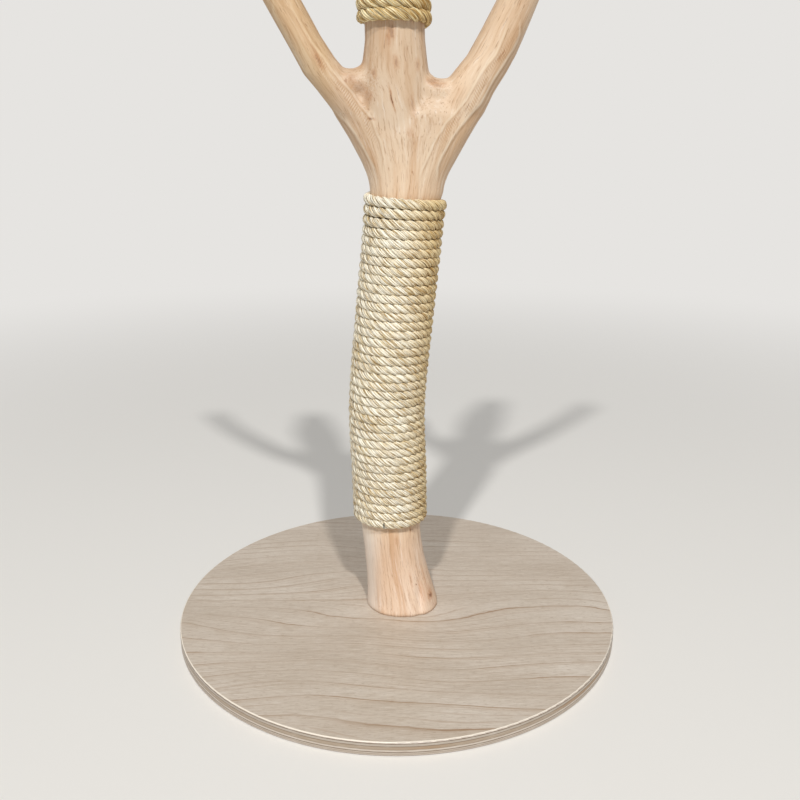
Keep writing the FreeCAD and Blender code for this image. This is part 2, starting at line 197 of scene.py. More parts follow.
# Tool marks between the ridges: the distance from one to the next, and its parts across and up
tool_mark_pitch = 2.9 * mm
tool_mark_slant = (0.835, 0.55)

# Curly patches at the crotches: photo pixel and reach in millimetres
curl_pixels = [(366, 86, 26), (441, 87, 20)]

# Knots and short streaks seen from the front: photo pixel, half width and half length along the
# grain in millimetres, and how dark
knot_pixels = [
    (391.3, 98.0, 0.55, 8.5, 0.85),
    (396.3, 62.5, 1.0, 5.0, 0.55),
    (417.0, 65.0, 0.9, 4.6, 0.5),
    (373.8, 73.0, 1.0, 3.0, 0.5),
    (367.5, 96.5, 1.5, 5.0, 0.3),
    (358.5, 87.0, 1.3, 5.0, 0.3),
    (351.5, 77.0, 1.0, 3.6, 0.3),
    (412.5, 105.0, 0.9, 8.0, 0.5),
    (410.0, 132.5, 1.6, 4.0, 0.35),
    (371.0, 118.8, 1.0, 1.4, 0.85),
    (391.5, 31.0, 1.3, 6.5, 0.6),
    (388.0, 40.0, 0.9, 5.0, 0.4),
    (318.8, 61.0, 1.1, 7.0, 0.6),
    (432.0, 81.0, 1.6, 3.0, 0.5),
    (437.5, 85.0, 1.2, 2.2, 0.5),
    (396.6, 540.6, 2.0, 4.5, 0.45),
    (430.8, 593.6, 2.8, 3.6, 1.0),
    (434.4, 603.0, 1.3, 2.2, 0.95),
    (424.5, 576.0, 0.8, 7.0, 0.4),
    (420.5, 588.0, 0.9, 7.0, 0.35),
    (416.5, 584.3, 0.7, 1.0, 0.9),
    (411.0, 579.5, 0.9, 6.5, 0.6),
    (425.5, 601.0, 1.2, 6.0, 0.5),
    (422.5, 592.0, 3.2, 9.0, 0.3),
    (429.5, 588.0, 2.0, 4.0, 0.35),
    (410.5, 530.0, 0.9, 1.6, 0.8),
]

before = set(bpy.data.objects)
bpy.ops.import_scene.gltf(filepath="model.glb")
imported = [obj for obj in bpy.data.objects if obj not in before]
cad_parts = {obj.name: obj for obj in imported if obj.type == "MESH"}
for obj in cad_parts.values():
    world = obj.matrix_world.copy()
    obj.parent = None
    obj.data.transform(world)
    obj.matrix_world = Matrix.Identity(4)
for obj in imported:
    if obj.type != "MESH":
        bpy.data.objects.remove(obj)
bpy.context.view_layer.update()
scene = bpy.context.scene


def limited(value):
    """A value kept between 0 and 1."""
    return min(max(value, 0), 1)


def paint(text):
    """A colour written as red, green and blue in hexadecimal, as linear light."""
    levels = [int(text[i:i + 2], 16) / 255 for i in (0, 2, 4)]
    return [v / 12.92 if v <= 0.04045 else ((v + 0.055) / 1.055) ** 2.4 for v in levels] + [1]


class Finish:
    """A material under construction. Most calls add a node and give its output."""

    def __init__(self, name, roughness):
        self.material = bpy.data.materials.new(name)
        self.material.use_nodes = True
        self.tree = self.material.node_tree
        self.shader = self.tree.nodes["Principled BSDF"]
        self.put(self.shader, "Roughness", roughness)

    def put(self, node, name, value):
        socket = node.inputs[name]
        if isinstance(value, bpy.types.NodeSocket):
            self.tree.links.new(value, socket)
        else:
            socket.default_value = value

    def coordinates(self, name="Object"):
        return self.tree.nodes.new("ShaderNodeTexCoord").outputs[name]

    def attribute(self, name):
        node = self.tree.nodes.new("ShaderNodeAttribute")
        node.attribute_name = name
        return node.outputs["Vector"]

    def parts(self, vector):
        node = self.tree.nodes.new("ShaderNodeSeparateXYZ")
        self.put(node, 0, vector)
        return node.outputs

    def joined(self, x, y, z):
        node = self.tree.nodes.new("ShaderNodeCombineXYZ")
        for name, value in zip("XYZ", (x, y, z)):
            self.put(node, name, value)
        return node.outputs[0]

    def scaled(self, vector, x, y, z):
        node = self.tree.nodes.new("ShaderNodeMapping")
        self.put(node, "Vector", vector)
        self.put(node, "Scale", (x, y, z))
        return node.outputs[0]

    def noise(self, vector, scales, detail, roughness=0.5, distortion=0.0):
        """Noise over a vector, with a scale for each of its directions."""
        node = self.tree.nodes.new("ShaderNodeTexNoise")
        self.put(node, "Vector", self.scaled(vector, *scales))
        self.put(node, "Scale", 1.0)
        self.put(node, "Detail", detail)
        self.put(node, "Roughness", roughness)
        self.put(node, "Distortion", distortion)
        return node.outputs["Fac"]

    def math(self, operation, a, b=0.0):
        node = self.tree.nodes.new("ShaderNodeMath")
        node.operation = operation
        self.put(node, 0, a)
        self.put(node, 1, b)
        return node.outputs[0]

    def plus(self, a, b):
        return self.math("ADD", a, b)

    def minus(self, a, b):
        return self.math("SUBTRACT", a, b)

    def times(self, product, *values):
        for value in values:
            product = self.math("MULTIPLY", product, value)
        return product

    def span(self, value, low, high, to_low=0.0, to_high=1.0):
        """A value mapped smoothly from one range to another and kept inside it."""
        node = self.tree.nodes.new("ShaderNodeMapRange")
        node.interpolation_type = "SMOOTHSTEP"
        for index, number in enumerate((value, low, high, to_low, to_high)):
            self.put(node, index, number)
        return node.outputs[0]

    def length(self, vector):
        node = self.tree.nodes.new("ShaderNodeVectorMath")
        node.operation = "LENGTH"
        self.put(node, 0, vector)
        return node.outputs["Value"]

    def offset(self, a, b):
        """The way from place b to place a."""
        node = self.tree.nodes.new("ShaderNodeVectorMath")
        node.operation = "SUBTRACT"
        self.put(node, 0, a)
        self.put(node, 1, b)
        return node.outputs[0]

    def ramp(self, value, stops):
        """A colour that follows a value, from places and the colours painted there."""
        node = self.tree.nodes.new("ShaderNodeValToRGB")
        self.put(node, 0, value)
        elements = node.color_ramp.elements
        while len(elements) < len(stops):
            elements.new(1.0)
        for element, (place, tint) in zip(elements, stops):
            element.position = place
            element.color = paint(tint)
        return node.outputs[0]

    def mix(self, share, a, b, blend="MIX"):
        node = self.tree.nodes.new("ShaderNodeMix")
        node.data_type = "RGBA"
        node.blend_type = blend
        self.put(node, 0, share)
        self.put(node, 6, a)
        self.put(node, 7, b)
        return node.outputs[2]

    def tinted(self, colour, *layers, blend="MIX"):
        """A colour with tints laid over it, each with the value that its share follows."""
        for tint, value, *limits in layers:
            colour = self.mix(self.span(value, *limits), colour, paint(tint), blend)
        return colour

    def bump(self, height, distance, strength, normal=None):
        node = self.tree.nodes.new("ShaderNodeBump")
        self.put(node, "Height", height)
        self.put(node, "Distance", distance)
        self.put(node, "Strength", strength)
        if normal is not None:
            self.put(node, "Normal", normal)
        return node.outputs[0]

    def done(self, colour, relief=None):
        """The material, with its colour and relief put in."""
        self.put(self.shader, "Base Color", colour)
        if relief is not None:
            self.put(self.shader, "Normal", relief)
        return self.material


def mix_surface(tree, share, first, second, output):
    """Makes a mix of two shaders the surface of a material or world."""
    mix = tree.nodes.new("ShaderNodeMixShader")
    for index, socket in enumerate((share, first.outputs[0], second.outputs[0])):
        tree.links.new(socket, mix.inputs[index])
    tree.links.new(mix.outputs[0], tree.nodes[output].inputs["Surface"])


def mesh_from(bm, name):
    mesh = bpy.data.meshes.new(name)
    bm.to_mesh(mesh)
    bm.free()
    return mesh


def linked(name, data):
    """A new object in the scene, at the origin."""
    item = bpy.data.objects.new(name, data)
    scene.collection.objects.link(item)
    return item


def new_piece(name, bm, material, node):
    """Makes a finished piece at the origin from a bmesh, riding on the post's only body."""
    mesh = mesh_from(bm, name)
    mesh.materials.append(material)
    mesh.shade_smooth()
    piece = linked(name, mesh)
    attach(piece, "root")
    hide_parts(node)


def disc(bm, sides, radius):
    """Corners and face of a new level disc at the origin."""
    ring = bmesh.ops.create_circle(bm, cap_ends=True, segments=sides, radius=radius)["verts"]
    return ring, ring[0].link_faces[0]


def extruded(bm, face):
    """The face that an extrusion of another one ends in, still in the same place."""
    grown = bmesh.ops.extrude_face_region(bm, geom=[face])
    return next(item for item in grown["geom"] if isinstance(item, bmesh.types.BMFace))


def merged_copy(node):
    """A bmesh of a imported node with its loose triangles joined."""
    bm = bmesh.new()
    bm.from_mesh(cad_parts[node].data)
    bmesh.ops.remove_doubles(bm, verts=bm.verts, dist=0.001 * mm)
    return bm


def met(tree, px, py):
    """The place where the line of sight through a pixel of the photograph meets a surface."""
    middle = photo_size / 2
    way = Vector(((px - middle) / focal_pixels, (middle - py) / focal_pixels, -1))
    way.rotate(Euler((math.radians(90 - camera_tilt), 0, 0)))
    return tree.ray_cast(camera_place, way.normalized())[0]


# Camera, light and floor

def add_camera():
    data = bpy.data.cameras.new("camera")
    data.sensor_width = 36
    data.lens = data.sensor_width * focal_pixels / photo_size
    camera = linked("camera", data)
    camera.location = camera_place
    camera.rotation_euler = (math.radians(90 - camera_tilt), 0, 0)
    scene.camera = camera


def add_lamp(name, place):
    data = bpy.data.lights.new(name, "AREA")
    data.shape = "DISK"
    data.size = lamp_size
    data.energy = lamp_watts
    data.color = lamp_colour
    lamp = linked(name, data)
    lamp.location = place
    way = Vector(lamp_target) - Vector(place)
    lamp.rotation_euler = way.to_track_quat("-Z", "Y").to_euler()


def add_world():
    """A dim sky that lights the post, seen and mirrored as the plain backdrop's colour."""
    world = bpy.data.worlds.new("studio")
    world.use_nodes = True
    scene.world = world
    tree = world.node_tree
    sky = tree.nodes["Background"]
    sky.inputs["Color"].default_value = sky_colour
    sky.inputs["Strength"].default_value = sky_strength
    seen = tree.nodes.new("ShaderNodeBackground")
    seen.inputs["Color"].default_value = backdrop_colour
    path = tree.nodes.new("ShaderNodeLightPath")
    shown = path.outputs["Is Camera Ray"]
    for ray in ("Is Glossy Ray", "Is Transmission Ray"):
        either = tree.nodes.new("ShaderNodeMath")
        either.operation = "MAXIMUM"
        tree.links.new(shown, either.inputs[0])
        tree.links.new(path.outputs[ray], either.inputs[1])
        shown = either.outputs[0]
    mix_surface(tree, shown, sky, seen, "World Output")


def add_floor():
    """A pale floor that fades into the backdrop's colour far from the post."""
    bm = bmesh.new()
    disc(bm, 96, floor_radius)
    floor = linked("floor", mesh_from(bm, "floor"))
    floor.location.z = -floor_drop
    finish = Finish("floor_paint", 0.7)
    far = finish.span(finish.length(finish.coordinates()), *floor_fade)
    glow = finish.tree.nodes.new("ShaderNodeEmission")
    glow.inputs["Color"].default_value = backdrop_colour
    mix_surface(finish.tree, far, finish.shader, glow, "Material Output")
    floor.data.materials.append(finish.done(floor_colour))


# Trunk

class Sections:
    """Level sections of the trunk: where each limb begins and ends from left to right."""

    def __init__(self, verts):
        levels = {}
        for vert in verts:
            levels.setdefault(round(vert.co.z / section_step), []).append(vert.co)
        self.rows = {level: self.limbs(places) for level, places in levels.items()}
        self.lowest, self.highest = min(self.rows), max(self.rows)
        self.neck = round(neck_height / section_step)
        self.crotches = {side: self.crotch(side) for side in (-1, 1)}

    def limbs(self, places):
        places.sort(key=lambda place: place.x)
        groups = [[places[0]]]
        for place in places[1:]:
            if place.x - groups[-1][-1].x > limb_gap:
                groups.append([])
            groups[-1].append(place)
        return [self.outline(group) for group in groups]

    def outline(self, group):
        xs = [place.x for place in group]
        ys = [place.y for place in group]
        return min(xs), max(xs), (min(ys) + max(ys)) / 2, (max(ys) - min(ys)) / 2

    def gap(self, level, side):
        """The open gap to one side of the middle limb at a level, if there is one."""
        row = self.rows[level]
        for before, after in zip(row, row[1:]):
            if (before[1] + after[0]) * side > 0:
                return before[1], after[0]
        return None

    def crotch(self, side):
        """The level where the gap to one side has opened, and its sides' places across there."""
        level = min(level for level in self.rows if self.gap(level, side)) + crotch_levels
        start, end = self.rows[level][0][0], self.rows[level][-1][1]
        return level, [(place - start) / (end - start) for place in self.gap(level, side)]

    def stops(self, level):
        """Places across a level and the share of the grain that runs through each."""
        start, end = self.rows[level][0][0], self.rows[level][-1][1]
        stops = [(start, 0)]
        for side, share in ((-1, side_limb_share), (1, 1 - side_limb_share)):
            top, places = self.crotches[side]
            shares = share - crotch_share, share + crotch_share
            gap = self.gap(level, side)
            if level < top or not gap:
                climb = limited((level - self.neck) / (top - self.neck))
                gap = [
                    start + (end - start) * (below + (above - below) * climb)
                    for below, above in zip(shares, places)
                ]
            stops += zip(gap, shares)
        return stops + [(end, 1)]

    def share_at(self, level, x):
        stops = self.stops(level)
        if x <= stops[0][0]:
            return stops[0][1]
        for (x0, s0), (x1, s1) in zip(stops, stops[1:]):
            if x <= x1:
                return s0 + (s1 - s0) * (x - x0) / max(x1 - x0, 0.1 * mm)
        return stops[-1][1]

    def limb_at(self, level, x):
        return min(self.rows[level], key=lambda limb: abs((limb[0] + limb[1]) / 2 - x))

    def grain(self, place):
        """Across, depth and along coordinates of the grain at a point."""
        level = min(max(place.z / section_step, self.lowest), self.highest - 1)
        below = math.floor(level)
        blend = level - below
        share = self.share_at(below, place.x) * (1 - blend)
        share += self.share_at(below + 1, place.x) * blend
        depth = place.y - self.limb_at(below, place.x)[2]
        return Vector(((share - 0.5) * grain_width, depth, place.z))

    def ring(self, place):
        """How far a point lies from the middle of its limb, as a share of the limb's half width."""
        level = min(max(round(place.z / section_step), self.lowest), self.highest)
        start, end, middle, half_depth = self.limb_at(level, place.x)
        half_width = (end - start) / 2
        across = (place.x - (start + end) / 2) / half_width
        return math.hypot(across, (place.y - middle) / half_depth)


class Ridges:
    """Ridges on the side limbs: how far a point lies outwards from each, seen from the front."""

    def __init__(self, tree):
        self.lines = {}
        for name, pixels in ridge_pixels.items():
            places = [met(tree, px, py) for px, py in pixels]
            self.lines[name] = sorted((place.z, place.x) for place in places if place)

    def away(self, name, place):
        """Distance outwards from a ridge, and how strongly the ridge shows at this height."""
        line = self.lines[name]
        height = min(max(place.z, line[0][0]), line[-1][0] - 0.01 * mm)
        row = max(i for i in range(len(line) - 1) if line[i][0] <= height)
        (z0, x0), (z1, x1) = line[row:row + 2]
        slope = (x1 - x0) / (z1 - z0)
        across = x0 + slope * (height - z0)
        fade = min(place.z - line[0][0], line[-1][0] - place.z) / ridge_fade + 1
        side = 1 if across > 0 else -1
        return (place.x - across) * side / math.hypot(1, slope), limited(fade)

    def at(self, place):
        """Distances outwards from the inner and the outer ridge, and the ridges' strength."""
        side = "right" if place.x > 0 else "left"
        inner, inner_fade = self.away(side + "_inner", place)
        outer, outer_fade = self.away(side + "_outer", place)
        return Vector((inner, outer, min(inner_fade, outer_fade)))


def crease(distance, middle, width):
    """A smooth hump of height one at a place, as wide as width to each side."""
    return math.exp(-((distance - middle) / width) ** 2)


def carved(grain, place, ridge, front):
    """How far the peeled surface stands out at a point, in metres."""
    height = 0.8 * noise.noise(Vector((grain.x * 28, place.y * 28, grain.z * 9)))
    height += 0.4 * noise.noise(Vector((grain.x * 90, place.y * 60, grain.z * 14 + 5)))
    inner, outer, strength = ridge.x / mm, ridge.y / mm, ridge.z * front
    ridges = 0.4 * crease(inner, 0, 2.8) - 0.35 * crease(inner, 5.0, 3.0)
    ridges += 0.6 * crease(outer, -0.5, 2.8) - 0.5 * crease(outer, 4.5, 3.2)
    share = grain.x / grain_width + 0.5
    above_photo = limited((place.z - photo_top) / photo_top_blend)
    upper = 1.4 * crease(share, 0.84, 0.014) - 1.1 * crease(share, 0.88, 0.014)
    upper += 1.3 * crease(share, 0.16, 0.014) - 1.1 * crease(share, 0.12, 0.014)
    return (height + ridges * strength + upper * above_photo * front) * mm


def root_flare(place, front):
    """How far the foot's front stands forward of the plain stem at a point, in metres."""
    fade = limited(1 - (place.z - plate_thickness) / root_height)
    forward = root_depth * fade * fade * limited((root_back - place.y) / root_back)
    for across, middle, half_width, half_height, depth in root_bumps:
        sideways = (place.x / mm - across) / half_width
        near = math.hypot(sideways, (place.z / mm - middle) / half_height)
        forward += depth * mm * math.exp(-near ** 2) * front
    return forward


def swelling(place):
    """How far a point moves sideways for the slight swellings of the outline, in metres."""
    move = 0
    for height, reach, inner, outer, size in swellings:
        near = math.exp(-((place.z / mm - height) / reach) ** 2)
        across = (place.x / mm - inner) / (outer - inner)
        if 0 < across < 1.4:
            move += near * min(across, 1) * size
    return move * mm


def remeshed(bm, name):
    """The solid that a bmesh bounds, in even small faces."""
    block = linked(name, mesh_from(bm, name))
    remesh = block.modifiers.new("remesh", "REMESH")
    remesh.mode = "VOXEL"
    remesh.voxel_size = wood_grid
    graph = bpy.context.evaluated_depsgraph_get()
    dense = bpy.data.meshes.new_from_object(block.evaluated_get(graph))
    bpy.data.objects.remove(block)
    bm = bmesh.new()
    bm.from_mesh(dense)
    return bm


def peeled_trunk():
    """The trunk's solid remeshed finely, smoothed, and worked like a peeled and sanded branch."""
    bm = remeshed(merged_copy("trunk"), "rough_trunk")
    foot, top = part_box("trunk")
    for _ in range(smoothing_passes):
        for factor in smoothing_factors:
            bmesh.ops.smooth_vert(
                bm, verts=bm.verts, factor=factor, use_axis_x=True, use_axis_y=True, use_axis_z=True
            )
    bm.normal_update()
    sections = Sections(bm.verts)
    ridges = Ridges(BVHTree.FromBMesh(bm))
    grain_layer = bm.verts.layers.float_vector.new("grain")
    ring_layer = bm.verts.layers.float_vector.new("ring")
    ridge_layer = bm.verts.layers.float_vector.new("ridge")
    moves = []
    for vert in bm.verts:
        grain = sections.grain(vert.co)
        vert[grain_layer] = grain
        vert[ring_layer] = Vector((sections.ring(vert.co), 0, 0))
        front = limited(-vert.normal.y * 1.6 - 0.2)
        ridge = ridges.at(vert.co)
        ridge.z *= front
        vert[ridge_layer] = ridge
        moves.append(
            vert.normal * carved(grain, vert.co, ridge, front)
            + Vector((swelling(vert.co), -root_flare(vert.co, front), 0))
        )
    for vert, move in zip(bm.verts, moves):
        vert.co += move
        if vert.co.z < foot.z + foot_flat:
            vert.co.z = foot.z
        vert.co.z = min(vert.co.z, top.z)
    return bm, sections


def knotted(finish, colour, grain, knots):
    """The wood's colour with its knots and short streaks, each a dark core in a warm halo."""
    warp = finish.minus(finish.noise(grain, (600, 600, 240), 3, 0.6), 0.5)
    for centre, half_width, half_length, darkness in knots:
        away = finish.offset(grain, tuple(centre))
        shaped = finish.scaled(away, 1 / half_width, 0.35 / half_width, 1 / half_length)
        reach = finish.plus(finish.length(shaped), finish.times(warp, 2.4))
        halo = 0.15 + 0.35 * darkness
        core = max(1.6 * darkness - 0.6, 0.08)
        colour = finish.tinted(
            colour, ("C48652", reach, 0.7, 2.6, halo, 0), ("6B3F1F", reach, 0.4, 1.15, core, 0)
        )
    return colour


def ridged(finish, colour, inner, outer, strength):
    """The wood's colour with a painted highlight along each ridge and a line of painted shade
    beside it, and darker outside them.
    """
    # Painted highlight on each ridge's crest, and painted shade on its slope outwards
    for away, middle, half_width, share, tint in (
        (inner, -0.6, 2.0, 0.35, "FFEFD6"),
        (inner, 2.0, 1.4, 0.3, "BE9061"),
        (outer, -0.8, 1.8, 0.5, "FFEFD6"),
        (outer, 2.6, 2.2, 0.45, "B3834F"),
    ):
        beside = finish.math("ABSOLUTE", finish.minus(away, middle * mm))
        line = finish.span(beside, 0.2 * mm, half_width * mm, share, 0)
        colour = finish.mix(finish.times(line, strength), colour, paint(tint))
    outside = finish.span(outer, 1 * mm, 7 * mm, 0, 0.38)
    return finish.mix(finish.times(outside, strength), colour, paint("C2986C"))


def tool_marks(finish, place, grain, inner, outer, strength, waver):
    """Fine slanting marks in patches of the peeled band between the ridges."""
    place_x, _, place_z = finish.parts(place)
    along = finish.parts(grain)[2]
    mark_across, mark_up = tool_mark_slant
    slant = finish.times(finish.math("ABSOLUTE", place_x), mark_across)
    slant = finish.plus(finish.times(place_z, mark_up), slant)
    slant = finish.plus(slant, finish.times(waver, 0.35))
    marks = finish.math("SINE", finish.times(slant, 2 * math.pi / tool_mark_pitch))
    in_band = finish.times(
        finish.span(inner, 1.5 * mm, 4 * mm),
        finish.span(inner, 9 * mm, 13 * mm, 1, 0),
        finish.span(outer, -2 * mm, 0, 1, 0),
        strength,
        finish.span(along, 0.63, 0.66),
        finish.span(along, 0.73, 0.78, 1, 0),
    )
    patchy = finish.noise(grain, (160, 160, 40), 2)
    return finish.times(marks, finish.span(patchy, 0.36, 0.56), in_band)


def year_rings(finish, place):
    """The sawn ends' year rings, round the middle of each limb."""
    ring = finish.parts(finish.attribute("ring"))[0]
    wobble = finish.noise(place, (40, 40, 40), 2)
    year = finish.plus(finish.times(ring, 9), finish.times(wobble, 2))
    return finish.ramp(finish.math("FRACT", year), [
        (0.0, "C99A66"), (0.25, "E8CBA4"), (0.8, "DDB98D"), (1.0, "B98650"),
    ])


def wood_finish(knots, curls):
    """Peeled wood: streaked along the grain, with knots, curls, ridges and sawn ends."""
    finish = Finish("peeled_wood", 0.55)
    place = finish.coordinates()
    grain = finish.attribute("grain")
    across, depth, along = finish.parts(grain)
    sway = finish.noise(grain, (26, 26, 9), 3)
    bent = finish.plus(across, finish.times(finish.minus(sway, 0.5), 0.014))
    lines = finish.joined(bent, depth, along)
    broad = finish.noise(lines, (80, 80, 5), 4, 0.6)
    fine = finish.noise(lines, (420, 300, 14), 4, 0.7)
    pores = finish.noise(lines, (1100, 800, 70), 2)
    fleck = finish.noise(lines, (260, 260, 50), 2, 0.6, 0.4)
    patches = finish.noise(grain, (14, 14, 8), 3)
    colour = finish.ramp(patches, [(0.3, "E3C29F"), (0.5, "EBCFB0"), (0.72, "F0D9BE")])
    colour = finish.tinted(
        colour,
        ("CFA276", broad, 0.48, 0.7, 0, 0.6),
        ("F8E9D6", broad, 0.3, 0.45, 0.45, 0),
        ("B98D64", fine, 0.5, 0.72, 0, 0.6),
        ("FFF4E6", fine, 0.28, 0.46, 0.5, 0),
        ("9A6C45", pores, 0.6, 0.72, 0, 0.5),
        ("A36E45", fleck, 0.66, 0.76, 0, 0.55),
    )

    swirl = finish.noise(place, (190, 120, 150), 3, 0.6, 2.2)
    curly = finish.tinted(
        colour, ("FBEBD6", swirl, 0.42, 0.5, 0, 0.55), ("BC8C62", swirl, 0.55, 0.64, 0, 0.6)
    )
    for centre, reach in curls:
        near = finish.length(finish.offset(place, tuple(centre)))
        colour = finish.mix(finish.span(near, 0.35 * reach, reach, 0.75, 0), colour, curly)
    colour = knotted(finish, colour, grain, knots)

    inner, outer, strength = finish.parts(finish.attribute("ridge"))
    waver = finish.noise(grain, (60, 60, 30), 2)
    waver = finish.times(finish.minus(waver, 0.5), 4 * mm)
    inner = finish.plus(inner, waver)
    outer = finish.plus(outer, waver)
    colour = ridged(finish, colour, inner, outer, strength)

    # Broad tints: painted shade above the neck, weaker on the right limb, yellower on the left
    # limb, painted light at the foot's left, and a little cooler on the foot
    place_x = finish.parts(place)[0]
    above_neck_shade = finish.times(
        finish.span(along, 0.54, 0.68), finish.span(place_x, 0.04, 0.08, 1, 0.55)
    )
    # Painted shade: the wood darker above the neck
    colour = finish.mix(above_neck_shade, colour, paint("E1DFDD"), "MULTIPLY")
    colour = finish.tinted(colour, ("FBF4E4", place_x, -0.09, -0.06, 1, 0), blend="MULTIPLY")
    # Painted light: paler on the foot's left side
    foot_left_light = finish.times(
        finish.span(place_x, -0.04, -0.016, 0.65, 0), finish.span(along, 0.12, 0.16, 1, 0)
    )
    colour = finish.mix(foot_left_light, colour, paint("FAF3E4"))
    colour = finish.tinted(colour, ("FCFAFF", along, 0.1, 0.16, 1, 0), blend="MULTIPLY")

    marks = tool_marks(finish, place, grain, inner, outer, strength, waver)
    colour = finish.tinted(colour, ("B5875B", marks, 0.1, 0.8, 0, 0.48))
    geometry = finish.tree.nodes.new("ShaderNodeNewGeometry")
    normal_z = finish.parts(geometry.outputs["True Normal"])[2]
    is_sawn = finish.times(finish.span(normal_z, 0.7, 0.9), finish.span(along, 0.94, 0.95))
    colour = finish.mix(is_sawn, colour, year_rings(finish, place))
    relief = finish.bump(fine, 0.4 * mm, 0.9)
    relief = finish.bump(marks, 0.2 * mm, 0.9, relief)
    relief = finish.bump(broad, 0.9 * mm, 0.7, relief)
    finish.put(finish.shader, "Roughness", finish.span(fine, 0.3, 0.7, 0.48, 0.62))
    return finish.done(colour, relief)


def find_knots(sections, tree):
    """The knots' places in the grain, found where the photograph's sight lines meet the wood."""
    return [
        (sections.grain(met(tree, px, py)), half_width * mm, half_length * mm, darkness)
        for px, py, half_width, half_length, darkness in knot_pixels
    ]


def find_curls(tree):
    return [(met(tree, px, py), reach * mm) for px, py, reach in curl_pixels]


# Rope

class WoundAxis:
    """The middle line and radius of the wood under a winding, by height."""

    def __init__(self, tree, start, end, guess):
        self.start = start - axis_overrun * axis_step
        count = int((end - start) / axis_step) + 2 * axis_overrun + 1
        self.rows = []
        centre = guess.copy()
        for i in range(count):
            centre.z = self.start + i * axis_step
            spans = []
            for x, y in ((1, 0), (-1, 0), (0, 1), (0, -1)):
                hit = tree.ray_cast(centre, Vector((x, y, 0)))[0]
                spans.append((hit - centre).length)
            right, left, back, front = spans
            centre += Vector(((right - left) / 2, (back - front) / 2, 0))
            self.rows.append((centre.x, centre.y, sum(spans) / 4))
        for _ in range(axis_smoothing):
            self.rows = [self.rows[0]] + [
                tuple((a + 2 * b + c) / 4 for a, b, c in zip(*three))
                for three in zip(self.rows, self.rows[1:], self.rows[2:])
            ] + [self.rows[-1]]

    def at(self, height):
        place = min(max((height - self.start) / axis_step, 0), len(self.rows) - 1.001)
        below = int(place)
        blend = place - below
        x, y, radius = (
            a * (1 - blend) + b * blend for a, b in zip(self.rows[below], self.rows[below + 1])
        )
        return Vector((x, y, height)), radius


class RopePath:
    """A left-handed winding's middle line, with both ends at the back."""

    def __init__(
        self, axis, low, high, turns, height, thickness, spacing,
        back_climb, row_lean=0, end_lift=0, end_lean=0,
    ):
        self.axis = axis
        self.turns = turns
        self.height = height
        self.thickness = thickness
        self.row_lean = row_lean
        self.back_climb = back_climb
        self.end_lift = end_lift
        self.end_lean = end_lean
        self.start = low + height / 2
        self.rise = high - low - height
        self.length = self.measure()
        # Half a strand over in each turn, so that the rows' strands lie in each other's valleys
        self.lays = turns * (math.floor(self.length / turns / spacing) + 0.5) / 3
        self.lay = self.length / self.lays

    def centre(self, turn):
        """The rope's middle at a turn, and the direction away from the wood there."""
        last = limited((turn - self.turns + end_lift_start) / end_lift_turns)
        back_climb = self.back_climb - self.end_lean * last
        climb = turn + back_climb * math.sin(2 * math.pi * turn) / (2 * math.pi)
        level = self.start + self.rise * climb / self.turns + self.end_lift * last
        middle, radius = self.axis.at(level)
        ahead, _ = self.axis.at(level + lean_reach)
        behind, _ = self.axis.at(level - lean_reach)
        lean = (ahead - behind) / (2 * lean_reach)
        along = Vector((lean.x * self.row_lean, lean.y * self.row_lean, 1)).normalized()
        across = Vector((0, 1, 0)).cross(along).normalized()
        inward = along.cross(across)
        angle = math.pi / 2 - 2 * math.pi * turn
        slack = 0.35 * mm * noise.noise(Vector((turn * 1.7, 4.0, 2.0)))
        lift = 0.5 * mm * noise.noise(Vector((turn * 1.3, 9.0, 7.0)))
        outward = across * math.cos(angle) + inward * math.sin(angle)
        reach = radius + self.thickness / 2 - rope_sink + slack
        return middle + outward * reach + along * lift, outward

    def heading(self, turn):
        return (self.centre(turn + 0.002)[0] - self.centre(turn - 0.002)[0]).normalized()

    def measure(self):
        points = [self.centre(i / 24)[0] for i in range(self.turns * 24 + 1)]
        return sum((b - a).length for a, b in zip(points, points[1:]))


def strand(path, phase, name, material, node):
    """Makes one of the rope's three strands: a grid rolled into a tube and laid round its line."""
    steps = int(path.length / strand_step)
    strand_radius = path.height / 2 * strand_radius_share
    strand_offset = path.height / 2 * strand_offset_share
    flatten = 1 - path.thickness / path.height
    bm = bmesh.new()
    uv = bm.loops.layers.uv.verify()
    bmesh.ops.create_grid(bm, x_segments=steps, y_segments=strand_sides, size=0.5, calc_uvs=True)
    lines = []
    for i in range(steps + 1):
        turn = path.turns * i / steps
        centre, outward = path.centre(turn)
        along = path.heading(turn)
        outward = (outward - along * outward.dot(along)).normalized()
        side = along.cross(outward)
        lay = 2 * math.pi * (path.lays * i / steps + phase / 3)
        offset = outward * math.cos(lay) + side * math.sin(lay)
        lean = side * math.cos(lay) - outward * math.sin(lay)
        lean *= 2 * math.pi * strand_offset / path.lay
        lines.append((centre, outward, offset, (along + lean).normalized()))
    for vert in bm.verts:
        share = vert.co.x + 0.5
        angle = 2 * math.pi * (vert.co.y + 0.5)
        centre, outward, offset, along = lines[min(round(share * steps), steps)]
        swell = 1 + 0.1 * noise.noise(Vector((share * path.length * 90, phase * 7.0, 0)))
        ring = offset * math.cos(angle) + along.cross(offset) * math.sin(angle)
        place = offset * strand_offset + ring * strand_radius * swell
        vert.co = centre + place - outward * (place.dot(outward) * flatten)
    for face in bm.faces:
        for loop in face.loops:
            loop[uv].uv.x *= path.lays
    bmesh.ops.remove_doubles(bm, verts=bm.verts, dist=0.01 * mm)
    bmesh.ops.holes_fill(bm, edges=bm.edges, sides=strand_sides)
    bmesh.ops.recalc_face_normals(bm, faces=bm.faces)
    new_piece(name, bm, material, node)


